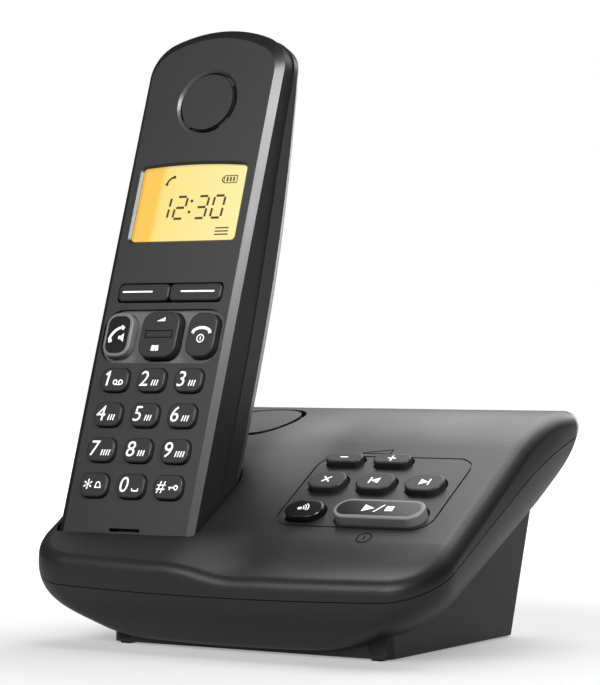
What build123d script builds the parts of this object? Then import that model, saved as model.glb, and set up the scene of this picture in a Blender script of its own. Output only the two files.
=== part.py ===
"""Cordless telephone base with a built-in answering machine, and its handset.

Millimetres, +X to the right, the front faces -Y, +Z up.  The origin is on the
table, under the middle of the base.
"""

from build123d import *
from math import atan2, cos, hypot, radians, sin, sqrt, tan
import os

os.makedirs("parts", exist_ok=True)

# ---------------------------------------------------------------- driving sizes
# Base housing, seen from above and from the side.
base_width = 130.4
base_depth = 99.1
base_wall = 2.2
front_bow = 3.1  # how far the middle of the front edge stands forward
front_corner = 16.0
rear_corner = 11.0
corner_growth = 14.0  # how much the corners widen towards the underside

# Hull: the tilted tray that tapers down to a flat underside.
hull_tilt = 25.5
hull_datum_z = 15.5  # height of the tilted datum at the front edge
hull_depth = 16.6
hull_inset = 11.0
hull_curve = 1.7
hull_rear_inset = 3.4
hull_rear_curve = 4.0
hull_top_level = 40.0

# Parting line between the upper and lower shell, seen from the side.
seam_front_z = 15.5
seam_slope = 27.4
seam_break_y = 3.6
seam_rear_z = 58.6
seam_gap = 0.3

# Top surface, seen from the side.
panel_slope = 31.0
crown_start_y = 7.6
crown_start_z = 54.9
crown_rear_z = 62.9
lip_z = 20.5
scoop_end_y = -32.4
lip_slope = 8.0  # slope behind the front lip
mound_end_y = -38.4
mound_rise = 2.0
mound_slope = 50.0
mound_crown_lead = 6.0
mound_right_x = -14.0  # the mound round the cradle is full up to here
panel_left_x = 4.0  # and has gone here
rim_radius = 4.3

# Stand under the tray.
stand_left_x = -39.8
stand_right_x = 48.6
stand_bottom_z = 0.5
stand_front_y = -38.0
stand_rear_y = 33.9
stand_rear_lean = 19.8
stand_corner = 2.5

# Button panel on the slope: x across, s up the slope from the panel datum.
panel_left = 5.2
panel_right = 53.6
panel_top = 31.7
panel_bottom = -2.6
panel_datum_y = -25.3
panel_corner = 6.0
groove_width = 0.5
groove_depth = 0.4
button_column = 15.3
button_first_x = 13.4
row_top = 28.8
row_middle = 17.7
row_bottom = 3.4
button_length = 11.6
button_width = 7.8
pill_width = 4.4
play_x = 37.0
play_length = 27.6
play_width = 8.8
play_rim_width = 1.1
play_inlay_depth = 1.0
button_proud = 1.65
play_proud = 2.4
button_gap = 0.3
button_travel = 0.7
button_edge = 0.5
flange_play = 0.1  # under the panel, before the flange
hole_chamfer = 0.4
flange_margin = 0.8
flange_thickness = 1.0

# Loudspeaker ring behind the cradle.
ring_x = -25.8
ring_y = 19.6
ring_radius = 12.2
ring_width = 1.5
ring_depth = 1.2
ring_slot_count = 6
ring_slot_sweep = 44.0
speaker_radius = 14.4
speaker_drop = 3.6  # top of the loudspeaker under the roof over its front edge
speaker_flange = 2.0
speaker_height = 8.0
magnet_radius = 8.0
speaker_seat_wall = 1.6

# Handset: u across, v up along its axis, d back from its face.
handset_x = -37.2
handset_y = -36.3
handset_z = 30.7
handset_lean = 18.9
handset_top = 154.0
handset_bottom = -9.0
handset_half = 24.0  # half width at the parting line, at the shoulders
handset_foot_half = 23.3
handset_wall = 1.8
bevel_top = 3.6
bevel_side = 2.6
bevel_depth = 2.0
bevel_foot_depth = 1.1
side_draft = 0.5
side_overlap = 0.15
top_drop = 7.0  # how far the shoulders lie under the top
top_corner = 12.0
foot_corner = 9.0
back_share = 0.41  # back corner radius as a share of the thickness
back_least = 0.4
back_bottom = 24.0
back_middle = 24.4
back_display = 21.2
back_ear = 16.6
back_shoulder = 12.8
back_top = 9.6
back_end = 6.6
back_run_out = 4.0
back_bottom_v = 24.0
back_middle_v = 60.0
back_display_v = 100.0
back_ear_v = 123.0
back_shoulder_v = 138.0
back_top_v = 148.0
back_stations = 14
heel_depth = 8.0  # flat of the foot, from the face backwards
heel_v = 5.5  # height at which the foot meets the back
parting_low = 9.8
parting_high = 6.3
parting_low_v = 50.0
parting_high_v = 140.0
parting_gap = 0.3

# Handset face features.
screen_width = 35.6
screen_height = 23.6
screen_rise = 0.9
screen_v = 98.7
screen_corner = 1.2
screen_chamfer = 0.7
lens_recess = 0.7
lens_gap = 0.1
lens_margin = 1.0
lens_flange = 0.6
ear_v = 130.0
ear_outer = 10.4
ear_inner = 8.7
ear_groove = 0.9
ear_slot_count = 4
ear_slot_sweep = 60.0
soft_v = 70.7
soft_slot_length = 36.0
soft_slot_height = 6.1
soft_corner = 1.6
soft_length = 17.4
soft_height = 5.2
soft_pitch = 8.9
soft_proud = 0.6
bay_v = 57.6
bay_width = 41.0
bay_height = 16.2
bay_corner = 6.0
bay_depth = 0.9
bay_gap = 0.1
bay_flange = 0.6
plate_thickness = 1.6
call_key_pitch = 14.3
call_key_width = 9.4
call_key_height = 13.2
call_key_corner = 3.6
call_proud = 1.5
call_rim = 1.0
call_inlay_depth = 0.8
nav_width = 12.6
nav_height = 13.8
nav_corner = 3.6
nav_proud = 1.7
nav_gap = 0.5
nav_bar_width = 9.4
nav_bar_height = 2.4
nav_bar_groove = 0.4
nav_tilt_room = 0.6
nav_flange_thickness = 0.6
key_pitch_u = 12.6
key_pitch_v = 10.4
key_bottom_v = 13.0
key_width = 9.2
key_height = 7.1
key_corner = 2.6
key_proud = 1.3
key_gap = 0.25
key_edge = 0.5
key_travel = 0.6
key_flange = 0.7
key_flange_thickness = 0.8
mic_v = 0.4
mic_width = 10.4
mic_height = 1.0

# Cradle.
cradle_gap = 0.4
cradle_front_corner = 1.8
cradle_reach = 26.0
tub_wall = 1.6
tub_clearance = 0.3

# Stand, feet and sockets.
stand_wall = 2.2
stand_rise = 8.0  # how far the stand reaches up into the hull
stand_rear_inset = 0.6
foot_top_size = 6.0
foot_bottom_size = 3.0
foot_height = 7.0
left_foot_x = -35.6
right_foot_x = 44.4
feet_y = -36.2
pad_radius = 4.0
pad_seat = 0.8
pad_y = 27.0
left_pad_x = -33.0
right_pad_x = 42.0
socket_rise = 16.0
line_socket_x = 8.0
power_socket_x = -14.0
socket_height = 10.6
socket_length = 13.0
line_socket_width = 13.0
power_socket_width = 11.0
socket_wall = 1.6
socket_hole_height = 7.6
socket_hole_depth = 7.5
socket_gap = 0.1
sleeve_wall = 1.5
sleeve_length = 10.0

# Shell joint: the lower shell's tongue stands inside the upper shell.
tongue_gap = 0.15
tongue_wall = 1.0
tongue_height = 1.6

# Screws, from below into bosses of the upper shell.
screw_radius = 1.25
screw_fit = 0.05
screw_head_radius = 2.4
screw_head_height = 1.6
screw_length = 9.0
screw_seat = 2.2
head_clearance = 0.2
boss_wall = 1.6
boss_drop = 4.0  # seat under the parting line
front_screw_y = -33.5
front_left_screw_x = -6.0
front_right_screw_x = 32.0
rear_left_screw_x = -47.0
rear_left_screw_y = 38.0
rear_right_screw_x = 33.0
rear_right_screw_y = 24.0

# Boards, mats and small parts inside.
board_thickness = 1.2
mat_thickness = 1.0
mat_relief = 0.3
board_margin = 2.4
board_over = 3.6
post_radius = 1.6
lcd_margin = 1.4
earpiece_radius = 9.9
earpiece_height = 3.2
microphone_radius = 3.0
microphone_height = 2.2
handset_board_half = 20.0
handset_board_bottom = 9.0
handset_board_top = 120.0
handset_mat_half = 20.4
handset_mat_bottom = 8.3
handset_mat_top = 76.0
handset_screw_u = 15.5
handset_screw_v = 4.6
handset_boss_depth = 12.0

# Battery compartment in the back of the handset.
cell_radius = 5.2
cell_length = 44.0
cell_pitch = 11.0
cell_bottom_v = 54.0
cell_gap = 0.6
contact_thickness = 0.8
contact_size = 7.6
tray_floor_depth = 7.4
tray_wall = 1.0
cover_gap = 0.3
cover_wall = 1.4
cover_half = 17.0
cover_bottom_v = 48.5
cover_top_v = 103.5
cover_corner = 3.0
cover_ledge = 1.2
ledge_margin = 1.5

# Charging contacts.
contact_pitch = 8.0
pad_depth = 4.4
pad_width = 4.6
pad_length = 4.0
pad_thickness = 2.6
pad_recess = 0.15
pin_clear = 0.1
pin_tip_gap = 0.15
pin_radius = 1.2
pin_fit = 0.08
pin_flange_radius = 2.0
pin_flange = 0.8
pin_stem_radius = 0.8
pin_stem = 3.0
holder_half = 11.0
holder_width = 6.0
holder_depth = 5.0
holder_well_radius = 2.3
holder_well_depth = 3.0

# ---------------------------------------------------------------- base geometry
base_front = -base_depth / 2
base_rear = base_depth / 2
far = 200.0  # reach of cutting blocks


def tilted(angle, y, z):
    """Plane across X, its own Y climbing backwards at the given angle."""
    a = radians(angle)
    return Plane(origin=(0, y, z), x_dir=(1, 0, 0), z_dir=(0, -sin(a), cos(a)))


hull_plane = tilted(hull_tilt, base_front, hull_datum_z)


def panel_z(y):
    """Height of the straight part of the top surface."""
    return crown_start_z + (y - crown_start_y) * tan(radians(panel_slope))


def seam_z(y):
    """Height of the straight part of the parting line."""
    return seam_front_z + (y - base_front) * tan(radians(seam_slope))


def hull_outline(level, skin):
    """Outline of the hull at a level over its datum, drawn in by a skin."""
    depth = max(-level, 0) / hull_depth
    inset = hull_inset * depth**hull_curve
    drift = level * tan(radians(hull_tilt))
    stretch = 1 / cos(radians(hull_tilt))
    half = base_width / 2 - inset - skin
    front = (inset * 0.85 + skin) * stretch + drift
    rear_inset = hull_rear_inset * depth**hull_rear_curve
    rear = (base_depth - rear_inset - skin) * stretch + drift
    grown = corner_growth * depth**hull_curve - skin
    with BuildSketch() as outline:
        with BuildLine():
            ThreePointArc((-half, front + front_bow), (0, front), (half, front + front_bow))
            Polyline(
                (half, front + front_bow), (half, rear), (-half, rear), (-half, front + front_bow)
            )
        make_face()
        fillet(outline.vertices().sort_by(Axis.Y)[:2], front_corner + grown)
        fillet(outline.vertices().sort_by(Axis.Y)[-2:], rear_corner + grown * 0.6)
    return outline.sketch


def hull(skin):
    """Tapered body of the base without its top surface."""
    levels = [hull_top_level, hull_top_level / 3, 0] + [-hull_depth * k / 4 for k in range(1, 5)]
    with BuildPart() as body:
        for level in levels:
            with BuildSketch(hull_plane.offset(level)):
                add(hull_outline(level, skin))
        loft()
    return body.part


def roof_section(x, share, drop):
    """Side profile under the top surface; share 0 on the panel, 1 over the cradle."""
    slope = radians(panel_slope)
    rise = mound_rise * share - drop
    start = (base_front - base_wall, lip_z - drop)
    knee_y = scoop_end_y + (mound_end_y - scoop_end_y) * share
    knee = (knee_y, panel_z(knee_y) + rise)
    crown_y = crown_start_y - mound_crown_lead * share
    crown = (crown_y, panel_z(crown_y) + rise)
    end = (base_rear + base_wall, crown_rear_z - drop)
    lip = radians(lip_slope + (mound_slope - lip_slope) * share)
    with BuildSketch(Plane.YZ.offset(x)) as section:
        with BuildLine():
            Line((start[0], -far / 4), start)
            Spline(start, knee, tangents=((cos(lip), sin(lip)), (cos(slope), sin(slope))))
            Line(knee, crown)
            TangentArc(crown, end, tangent=(cos(slope), sin(slope)))
            Polyline(end, (end[0], -far / 4), (start[0], -far / 4))
        make_face()
    return section.sketch


def roof(drop):
    """Everything under the top surface, lowered by drop."""
    side = base_width / 2 + base_wall
    blend = (panel_left_x - mound_right_x) / 2
    left = [mound_right_x - blend * k for k in range(int((side + mound_right_x) / blend) + 2)]
    right = [panel_left_x + blend * k for k in range(int((side - panel_left_x) / blend) + 2)]
    stations = [(x, 1) for x in reversed(left)] + [(panel_left_x - blend, 0.5)]
    stations += [(x, 0) for x in right]
    with BuildPart() as body:
        for x, share in stations:
            add(roof_section(x, share, drop))
        loft()
    return body.part


def seam_block(shift, top):
    """Block under (top=-1) or over (top=1) the parting surface moved by shift."""
    slope = radians(seam_slope)
    start = (base_front - base_wall, seam_z(base_front - base_wall) + shift)
    turn = (seam_break_y, seam_z(seam_break_y) + shift)
    end = (base_rear, seam_rear_z + shift)
    with BuildPart() as block:
        with BuildSketch(Plane.YZ):
            with BuildLine():
                Line(start, turn)
                bend = TangentArc(turn, end, tangent=(cos(slope), sin(slope)))
                tail = Line(end, end + (bend % 1) * base_wall * 2)
                Polyline(tail @ 1, ((tail @ 1).X, top * far), (start[0], top * far), start)
            make_face()
        extrude(amount=far / 2, both=True)
    return block.part


def rim_edges(solid):
    """Edges all round the top surface of a body."""
    tops = solid.faces().filter_by(lambda f: f.normal_at().Z > 0.5)
    edges = ShapeList(e for f in tops for e in f.edges())
    centres = [tuple(round(c, 3) for c in e.center()) for e in edges]
    return ShapeList(e for e, c in zip(edges, centres) if centres.count(c) == 1)


def seam_height(y):
    """Height of the parting line anywhere along the base."""
    if y < seam_break_y:
        return seam_z(y)
    rise, run = seam_rear_z - seam_z(seam_break_y), base_rear - seam_break_y
    turn = radians(seam_slope) - atan2(rise, run)
    radius = hypot(rise, run) / 2 / sin(turn)
    centre_y = seam_break_y + radius * sin(radians(seam_slope))
    centre_z = seam_z(seam_break_y) - radius * cos(radians(seam_slope))
    return centre_z + sqrt(radius**2 - (y - centre_y) ** 2)


def underside_z(y):
    """Height of the flat underside of the hull."""
    return hull_datum_z - hull_depth / cos(radians(hull_tilt)) + (y - base_front) * tan(
        radians(hull_tilt)
    )


# ------------------------------------------------------------- handset frame
lean = radians(handset_lean)
across = Vector(1, 0, 0)
upward = Vector(0, sin(lean), cos(lean))
inward = Vector(0, cos(lean), -sin(lean))
face_plane = Plane(origin=(handset_x, handset_y, handset_z), x_dir=across, z_dir=-inward)
side_plane = Plane(origin=face_plane.origin, x_dir=inward, z_dir=across)  # d, v
heel_angle = atan2(heel_v - handset_bottom, back_bottom - heel_depth)


def behind(depth):
    """Plane parallel to the handset's face, that far behind it."""
    return face_plane.offset(-depth)


def across_plane(v):
    """Plane square to the handset's axis; its own axes are u and d."""
    return Plane(origin=face_plane.origin + upward * v, x_dir=across, z_dir=upward)


def half_width(v):
    """Half the handset's width at its parting line."""
    share = (v - handset_bottom) / (handset_top - top_drop - handset_bottom)
    return handset_foot_half + (handset_half - handset_foot_half) * share


def handset_outline(side, top, skin):
    """Outline of the handset from the front, drawn in at its sides and top."""
    shoulder_v = handset_top - top_drop - top - skin
    upper = half_width(shoulder_v) - side - skin
    foot = handset_foot_half - side - skin
    low = handset_bottom + skin
    with BuildSketch() as outline:
        with BuildLine():
            Polyline((-upper, shoulder_v), (-foot, low), (foot, low), (upper, shoulder_v))
            ThreePointArc(
                (upper, shoulder_v), (0, shoulder_v + top_drop), (-upper, shoulder_v)
            )
        make_face()
        fillet(outline.vertices().sort_by(Axis.Y)[-2:], top_corner - side - skin)
        fillet(outline.vertices().sort_by(Axis.Y)[:2], foot_corner - skin)
    return outline.sketch


def under_foot(gap):
    """Everything under the handset's foot, kept a gap away from it."""
    corner = (heel_depth + gap * tan(heel_angle / 2), handset_bottom - gap)
    end = (corner[0] + far * cos(heel_angle) / 4, corner[1] + far * sin(heel_angle) / 4)
    with BuildPart() as block:
        with BuildSketch(side_plane):
            with BuildLine():
                Polyline((-far / 4, corner[1]), corner, end, (end[0], -far), (-far / 4, -far))
                Line((-far / 4, -far), (-far / 4, corner[1]))
            make_face()
        extrude(amount=far / 4, both=True)
    return block.part


def back_form(skin):
    """Rounded body of the handset, its back drawn in by a skin."""
    points = [
        (handset_bottom - back_run_out, back_bottom), (back_bottom_v, back_bottom),
        (back_middle_v, back_middle), (back_display_v, back_display), (back_ear_v, back_ear),
        (back_shoulder_v, back_shoulder), (back_top_v, back_top),
        (handset_top + back_run_out, back_end),
    ]
    profile = Spline(*points)
    with BuildPart() as body:
        for k in range(back_stations + 1):
            v, depth = (profile @ (k / back_stations)).X, (profile @ (k / back_stations)).Y
            with BuildSketch(across_plane(v)) as section:
                width = 2 * (half_width(v) + side_overlap - skin)
                with Locations((0, (depth - skin) / 2)):
                    Rectangle(width, depth - skin)
                corner = max(back_share * depth - skin, back_least)
                fillet(section.vertices().sort_by(Axis.Y)[-2:], corner)
        loft()
    return body.part


def outline_prism(side, top, skin, start, end):
    """Handset outline run from one depth to another."""
    with BuildPart() as prism:
        with BuildSketch(behind(start)):
            add(handset_outline(side, top, skin))
        extrude(amount=start - end)
    return prism.part


def parting_block(shift, front):
    """Block in front of (front=-1) or behind (front=1) the handset's parting line."""
    low_v, high_v = handset_bottom - far / 8, handset_top + far / 8
    low = (parting_low + shift, parting_low_v)
    high = (parting_high + shift, parting_high_v)
    with BuildPart() as block:
        with BuildSketch(side_plane):
            with BuildLine():
                Line((low[0], low_v), low)
                Spline(low, high, tangents=((0, 1), (0, 1)))
                Polyline(high, (high[0], high_v), (front * far, high_v), (front * far, low_v))
                Line((front * far, low_v), (low[0], low_v))
            make_face()
        extrude(amount=far / 4, both=True)
    return block.part


def cradle_form(gap):
    """Socket that takes the handset's foot with a gap all round."""
    half = half_width(cradle_reach) + side_overlap + gap
    front, back = -gap, back_bottom + gap
    with BuildPart() as form:
        with BuildSketch(across_plane(handset_bottom - far / 8)) as section:
            with Locations((0, (front + back) / 2)):
                Rectangle(2 * half, back - front)
            fillet(section.vertices().sort_by(Axis.Y)[-2:], back_share * back_bottom + gap)
            fillet(section.vertices().sort_by(Axis.Y)[:2], cradle_front_corner + gap)
        extrude(amount=far / 4 + cradle_reach)
        with BuildSketch(face_plane) as outline:
            with Locations((0, handset_bottom - gap + far / 4)):
                Rectangle(2 * half, far / 2)
            fillet(outline.vertices().sort_by(Axis.Y)[:2], foot_corner + gap)
        extrude(amount=far / 4, both=True, mode=Mode.INTERSECT)
        add(under_foot(gap), mode=Mode.SUBTRACT)
    return form.part


# ------------------------------------------------------------------ shared forms
roof_drop = base_wall / cos(radians(panel_slope))
panel_plane = tilted(panel_slope, panel_datum_y, panel_z(panel_datum_y))
tongue_skin = base_wall + tongue_gap
lower_skin = tongue_skin + tongue_wall


def prism(sketch_plane, outline, amount):
    """An outline run along a plane's normal."""
    with BuildPart() as block:
        with BuildSketch(sketch_plane):
            add(outline)
        extrude(amount=amount)
    return block.part


def rod(plane, spot, radius, length):
    """A round bar along a plane's normal."""
    with BuildPart() as bar:
        with BuildSketch(plane):
            with Locations(spot):
                Circle(radius)
        extrude(amount=length)
    return bar.part


def panel_slot(spot, length, width, low, high):
    """A bar with round ends between two levels over the button panel."""
    with BuildPart() as block:
        with BuildSketch(panel_plane.offset(low)):
            with Locations(spot):
                SlotOverall(length, width)
        extrude(amount=high - low)
    return block.part


def panel_plate(left, right, bottom, top, low, high):
    """A rectangular plate parallel to the button panel."""
    with BuildPart() as plate:
        with BuildSketch(panel_plane.offset(low)):
            with Locations(((left + right) / 2, (bottom + top) / 2)):
                RectangleRounded(right - left, top - bottom, button_edge * 2)
        extrude(amount=high - low)
    return plate.part


def stand_block(skin):
    """The stand under the tray, drawn in by a skin."""
    slant = tan(radians(stand_rear_lean))
    front, bottom = stand_front_y + skin, stand_bottom_z + skin
    rear_skin = skin / cos(radians(stand_rear_lean))
    rear_low = stand_rear_y + skin * slant - rear_skin
    rear_high = base_rear - stand_rear_inset - rear_skin
    bend_z = bottom + (rear_high - rear_low) / slant
    with BuildPart() as block:
        with BuildSketch(Plane.YZ.offset(stand_left_x + skin)):
            with BuildLine():
                Polyline(
                    (front, bottom), (rear_low, bottom), (rear_high, bend_z),
                    (rear_high, underside_z(rear_high) + stand_rise),
                    (front, underside_z(front) + stand_rise), (front, bottom),
                )
            make_face()
        extrude(amount=stand_right_x - stand_left_x - 2 * skin)
        uprights = block.edges().filter_by(lambda e: abs((e @ 1 - e @ 0).X) < 0.01)
        walls = uprights.filter_by(lambda e: abs((e @ 1 - e @ 0).normalized().Z) > 0.5)
        fillet(walls, stand_corner - skin if skin < stand_corner else skin / 2)
    return block.part


# ------------------------------------------------------------------ base housing
with BuildPart() as base_body:
    add(hull(0))
    add(roof(0), mode=Mode.INTERSECT)
    fillet(rim_edges(base_body), rim_radius)

with BuildPart() as upper_cavity:
    add(hull(base_wall))
    add(roof(roof_drop), mode=Mode.INTERSECT)

with BuildPart() as lower_cavity:
    add(hull(lower_skin))
    split(bisect_by=hull_plane.offset(base_wall - hull_depth), keep=Keep.TOP)

with BuildPart() as tongue:
    add(hull(tongue_skin))
    add(roof(roof_drop + tongue_gap), mode=Mode.INTERSECT)
    add(seam_block(tongue_height, -1), mode=Mode.INTERSECT)
    add(seam_block(-tongue_height * 2, -1), mode=Mode.SUBTRACT)
    add(cradle_form(cradle_gap + tub_wall + tongue_wall), mode=Mode.SUBTRACT)

columns = [button_first_x + button_column * k for k in range(3)]
panel_buttons = {
    "button_minus": (columns[0], row_top, button_length, pill_width, button_proud),
    "button_plus": (columns[1], row_top, button_length, pill_width, button_proud),
    "button_delete": (columns[0], row_middle, button_length, button_width, button_proud),
    "button_back": (columns[1], row_middle, button_length, button_width, button_proud),
    "button_forward": (columns[2], row_middle, button_length, button_width, button_proud),
    "button_paging": (columns[0], row_bottom, button_length, button_width, button_proud),
    "play_rim": (play_x, row_bottom, play_length, play_width, play_proud),
}
flange_low = -base_wall - flange_play - flange_thickness
mat_top = flange_low - button_travel - mat_relief
board_top = mat_top - mat_thickness
board_low = board_top - board_thickness
board_left, board_right = panel_left - board_margin, panel_right + board_margin
board_bottom, board_high = panel_bottom - board_over, panel_top + board_over
post_inset = post_radius * 1.5
posts = [
    (x, s)
    for x in (board_left + post_inset, board_right - post_inset)
    for s in (board_bottom + post_inset, board_high - post_inset)
]
screws = [
    (front_left_screw_x, front_screw_y), (front_right_screw_x, front_screw_y),
    (rear_left_screw_x, rear_left_screw_y), (rear_right_screw_x, rear_right_screw_y),
]
boss_radius = screw_radius + boss_wall
head_bore = screw_head_radius + head_clearance
speaker_z = panel_z(ring_y - speaker_radius) - speaker_drop
speaker_seat_top = speaker_z + speaker_drop * 4
pin_floor_v = handset_bottom - cradle_gap - tub_wall
pin_spots = [(-contact_pitch, pad_depth), (contact_pitch, pad_depth)]
cradle = cradle_form(cradle_gap)


def seat_z(y):
    """Height of a housing screw's seat."""
    return seam_height(y) - boss_drop


with BuildPart() as hangers:  # loudspeaker seat, screw bosses and board posts
    with BuildSketch(Plane.XY.offset(speaker_z)):
        with Locations((ring_x, ring_y)):
            Circle(speaker_radius)
            Circle(speaker_radius - speaker_seat_wall, mode=Mode.SUBTRACT)
    extrude(amount=speaker_seat_top - speaker_z)
    for x, y in screws:
        add(rod(Plane.XY.offset(seat_z(y)), (x, y), boss_radius, far / 8))
    for spot in posts:
        add(rod(panel_plane.offset(board_top), spot, post_radius, -board_top))
    add(roof(roof_drop / 2), mode=Mode.INTERSECT)

with BuildPart() as tub:
    add(cradle_form(cradle_gap + tub_wall))
    add(base_body.part, mode=Mode.INTERSECT)

with BuildPart() as ring_groove:
    with BuildSketch(Plane.XY.offset(speaker_z)):
        with Locations((ring_x, ring_y)):
            Circle(ring_radius)
            Circle(ring_radius - ring_width, mode=Mode.SUBTRACT)
    extrude(amount=far / 4)
    add(roof(ring_depth), mode=Mode.SUBTRACT)

ring_arc = CenterArc(
    (0, 0), ring_radius - ring_width / 2, -ring_slot_sweep / 2, ring_slot_sweep
)

with BuildPart() as panel_mouths:  # chamfered mouths of the button holes
    for x, s, length, width, proud in panel_buttons.values():
        with BuildSketch(panel_plane.offset(-hole_chamfer)):
            with Locations((x, s)):
                SlotOverall(length + 2 * button_gap, width + 2 * button_gap)
        extrude(amount=2 * hole_chamfer, taper=-45)

upper_cuts = [cradle, panel_mouths.part, ring_groove.part]
for x, y in screws:
    depth = screw_length - screw_seat + boss_wall / 2
    upper_cuts.append(rod(Plane.XY.offset(seat_z(y)), (x, y), screw_radius + screw_fit, depth))
for spot in pin_spots:
    upper_cuts.append(rod(across_plane(pin_floor_v), spot, pin_radius + pin_fit, tub_wall * 2))
for x, s, length, width, proud in panel_buttons.values():
    reach, room = 2 * button_gap, 2 * (flange_margin + button_gap)
    upper_cuts.append(panel_slot((x, s), length + reach, width + reach, board_top, -board_top))
    upper_cuts.append(panel_slot((x, s), length + room, width + room, board_top, -base_wall))

with BuildPart() as base_upper_shell:
    add(base_body.part)
    add(seam_block(0, -1), mode=Mode.SUBTRACT)
    add(upper_cavity.part, mode=Mode.SUBTRACT)
    add([hangers.part, tub.part])
    add(upper_cuts, mode=Mode.SUBTRACT)
    # outline engraved round the buttons
    with BuildSketch(panel_plane.offset(-groove_depth)):
        with Locations(((panel_left + panel_right) / 2, (panel_top + panel_bottom) / 2)):
            width, height = panel_right - panel_left, panel_top - panel_bottom
            RectangleRounded(width + groove_width, height + groove_width, panel_corner)
            width, height = width - groove_width, height - groove_width
            RectangleRounded(width, height, panel_corner - groove_width, mode=Mode.SUBTRACT)
    extrude(amount=2 * groove_depth, mode=Mode.SUBTRACT)
    # arc-shaped sound slots through the floor of the ring groove
    with BuildSketch(Plane.XY.offset(speaker_z)):
        with Locations((ring_x, ring_y)):
            with PolarLocations(0, ring_slot_count):
                SlotArc(ring_arc, ring_width - 2 * tongue_gap)
    extrude(amount=far / 4, mode=Mode.SUBTRACT)
base_upper_shell.part.label = "base_upper_shell"
export_step(base_upper_shell.part, "parts/base_upper_shell.step")

# front feet: tapered rubber boxes let into the front corners of the stand
with BuildPart() as front_feet:
    for x in (left_foot_x, right_foot_x):
        with BuildSketch(Plane.XY):
            with Locations((x, feet_y)):
                Rectangle(foot_bottom_size, foot_bottom_size)
        with BuildSketch(Plane.XY.offset(foot_height)):
            with Locations((x, feet_y)):
                Rectangle(foot_top_size, foot_top_size)
        loft(ruled=True)
    add(hull(0), mode=Mode.SUBTRACT)
front_feet.part.label = "front_feet"
export_step(front_feet.part, "parts/front_feet.step")

with BuildPart() as rear_pads:
    with BuildSketch(Plane.XY):
        with Locations((left_pad_x, pad_y), (right_pad_x, pad_y)):
            Circle(pad_radius)
    extrude(amount=stand_bottom_z + pad_seat)
rear_pads.part.label = "rear_pads"
export_step(rear_pads.part, "parts/rear_pads.step")

# rear wall of the stand; its own X runs to the left as seen from the front
rear_lean = radians(stand_rear_lean)
rear_plane = Plane(
    origin=(0, stand_rear_y, stand_bottom_z),
    x_dir=(-1, 0, 0),
    z_dir=(0, cos(rear_lean), -sin(rear_lean)),
)
sockets = {
    "line_socket": (-line_socket_x, line_socket_width),
    "power_socket": (-power_socket_x, power_socket_width),
}


def rear_block(x, width, height, low, high):
    """Box square to the stand's rear wall, at the height of the sockets."""
    with BuildPart() as block:
        with BuildSketch(rear_plane.offset(low)):
            with Locations((x, socket_rise)):
                Rectangle(width, height)
        extrude(amount=high - low)
    return block.part


with BuildPart() as lower_block:  # lower half of the housing with its stand, still solid
    add(base_body.part)
    add(seam_block(-seam_gap, -1), mode=Mode.INTERSECT)
    add(stand_block(0))

with BuildPart() as screw_tubes:
    for x, y in screws:
        height = seat_z(y) - stand_bottom_z
        add(rod(Plane.XY.offset(stand_bottom_z), (x, y), head_bore + boss_wall, height))
    add(lower_block.part, mode=Mode.INTERSECT)

with BuildPart() as base_lower_shell:
    add(lower_block.part)
    add(tongue.part)
    add(lower_cavity.part, mode=Mode.SUBTRACT)
    add(stand_block(stand_wall), mode=Mode.SUBTRACT)
    add(screw_tubes.part)
    for x, width in sockets.values():
        grown = 2 * (socket_gap + sleeve_wall)
        low = -stand_wall - sleeve_length
        add(rear_block(x, width + grown, socket_height + grown, low, -stand_wall / 2))
        grown = 2 * socket_gap
        low -= sleeve_length
        window = rear_block(x, width + grown, socket_height + grown, low, stand_wall)
        add(window, mode=Mode.SUBTRACT)
    for x, y in screws:
        depth = seat_z(y) - screw_seat - stand_bottom_z
        add(rod(Plane.XY.offset(stand_bottom_z), (x, y), head_bore, depth), mode=Mode.SUBTRACT)
        shank = rod(Plane.XY, (x, y), screw_radius + head_clearance, far / 2)
        add(shank, mode=Mode.SUBTRACT)
    with BuildSketch(Plane.XY):
        with Locations((left_pad_x, pad_y), (right_pad_x, pad_y)):
            Circle(pad_radius)
    extrude(amount=stand_bottom_z + pad_seat, mode=Mode.SUBTRACT)
    for foot in front_feet.part.solids():
        add(foot, mode=Mode.SUBTRACT)
    add(cradle_form(cradle_gap + tub_wall + tub_clearance), mode=Mode.SUBTRACT)
base_lower_shell.part.label = "base_lower_shell"
export_step(base_lower_shell.part, "parts/base_lower_shell.step")

with BuildPart() as base_screws:
    for x, y in screws:
        seat = Plane.XY.offset(seat_z(y) - screw_seat)
        add(rod(seat, (x, y), screw_radius, screw_length))
        add(rod(seat, (x, y), screw_head_radius, -screw_head_height))
base_screws.part.label = "base_screws"
export_step(base_screws.part, "parts/base_screws.step")

for name, (x, width) in sockets.items():
    with BuildPart() as socket:
        add(rear_block(x, width, socket_height, -socket_length, 0))
        hole = width - 2 * socket_wall
        add(rear_block(x, hole, socket_hole_height, -socket_hole_depth, 0), mode=Mode.SUBTRACT)
    socket.part.label = name
    export_step(socket.part, f"parts/{name}.step")

with BuildPart() as loudspeaker:
    with BuildSketch(Plane.XZ.offset(-ring_y)):
        with BuildLine():
            Polyline(
                (ring_x, speaker_z), (ring_x + speaker_radius, speaker_z),
                (ring_x + speaker_radius, speaker_z - speaker_flange),
                (ring_x + speaker_radius - speaker_seat_wall, speaker_z - speaker_flange),
                (ring_x + magnet_radius, speaker_z - speaker_height / 2),
                (ring_x + magnet_radius, speaker_z - speaker_height),
                (ring_x, speaker_z - speaker_height), (ring_x, speaker_z),
            )
        make_face()
    revolve(axis=Axis((ring_x, ring_y, 0), (0, 0, 1)))
loudspeaker.part.label = "loudspeaker"
export_step(loudspeaker.part, "parts/loudspeaker.step")

# ------------------------------------------------------- buttons, mat and board
panel_axis = Axis((0, 0, 0), panel_plane.z_dir)


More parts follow.
